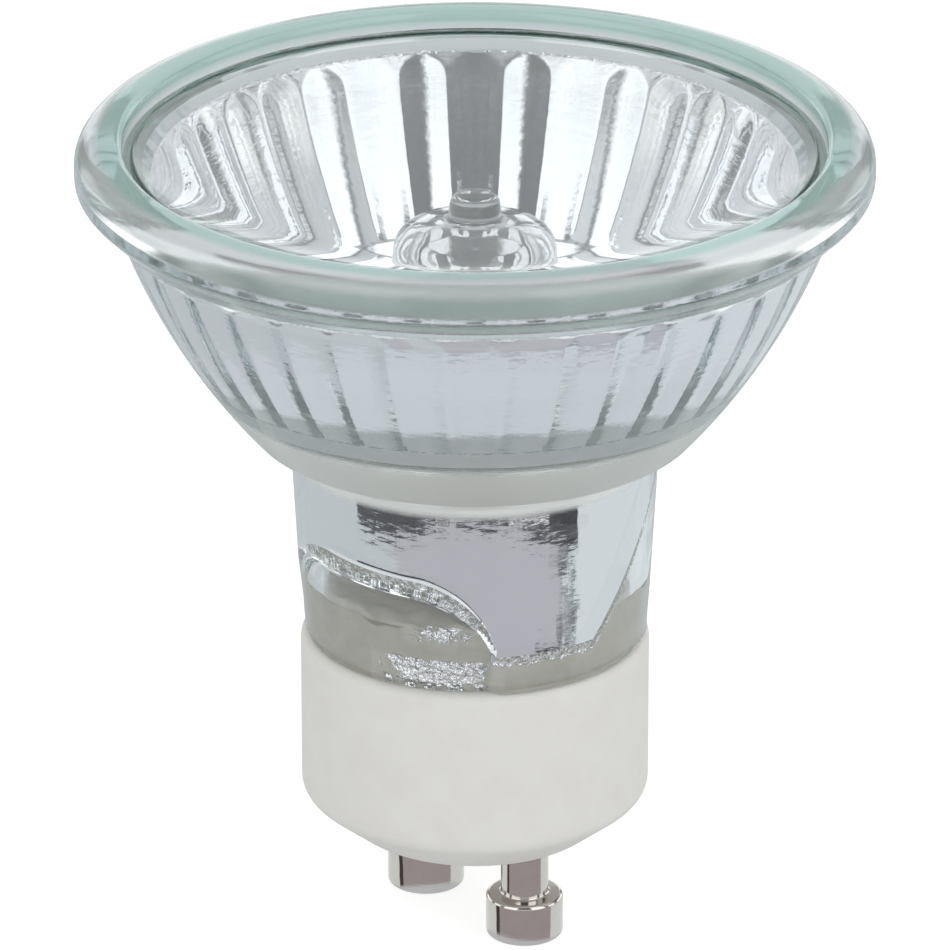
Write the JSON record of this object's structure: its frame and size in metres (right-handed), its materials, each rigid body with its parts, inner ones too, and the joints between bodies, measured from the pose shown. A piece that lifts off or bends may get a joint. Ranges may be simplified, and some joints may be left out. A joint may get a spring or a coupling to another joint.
{
  "type": "halogen reflector lamp",
  "caption": "Mains halogen lamp: a fluted, mirror-coated glass bowl under a flat cover glass, with a quartz capsule inside and headed contact pins in a ceramic base.",
  "frame": {"origin": "on the lamp's axis, in the plane of the ends of the contact pins", "axes": "+Z along the lamp's axis from the pins to the cover glass, +X through the contact pins"},
  "size_m": [0.0508, 0.0506, 0.054],
  "materials": {
    "coated_glass": "clear pressed glass with an aluminium mirror coat inside",
    "cover_glass": "clear flat glass",
    "adhesive": "clear silicone",
    "quartz": "clear quartz glass",
    "tungsten": "drawn wire",
    "molybdenum": "bright wire and foil",
    "cement": "rough set cement",
    "ceramic": "matt, unglazed",
    "nickel_plate": "bright nickel plate over turned metal"
  },
  "bodies": {
    "root": {"reflector": "coated_glass", "cover_glass": "cover_glass", "cover_bead": "adhesive", "capsule": "quartz", "filament": "tungsten", "filament_support": "molybdenum", "foil_left": "molybdenum", "foil_right": "molybdenum", "lead_left": "molybdenum", "lead_right": "molybdenum", "cement": "cement", "base": "ceramic", "contact_pin_left": "nickel_plate", "contact_pin_right": "nickel_plate"}
  },
  "joints": []
}
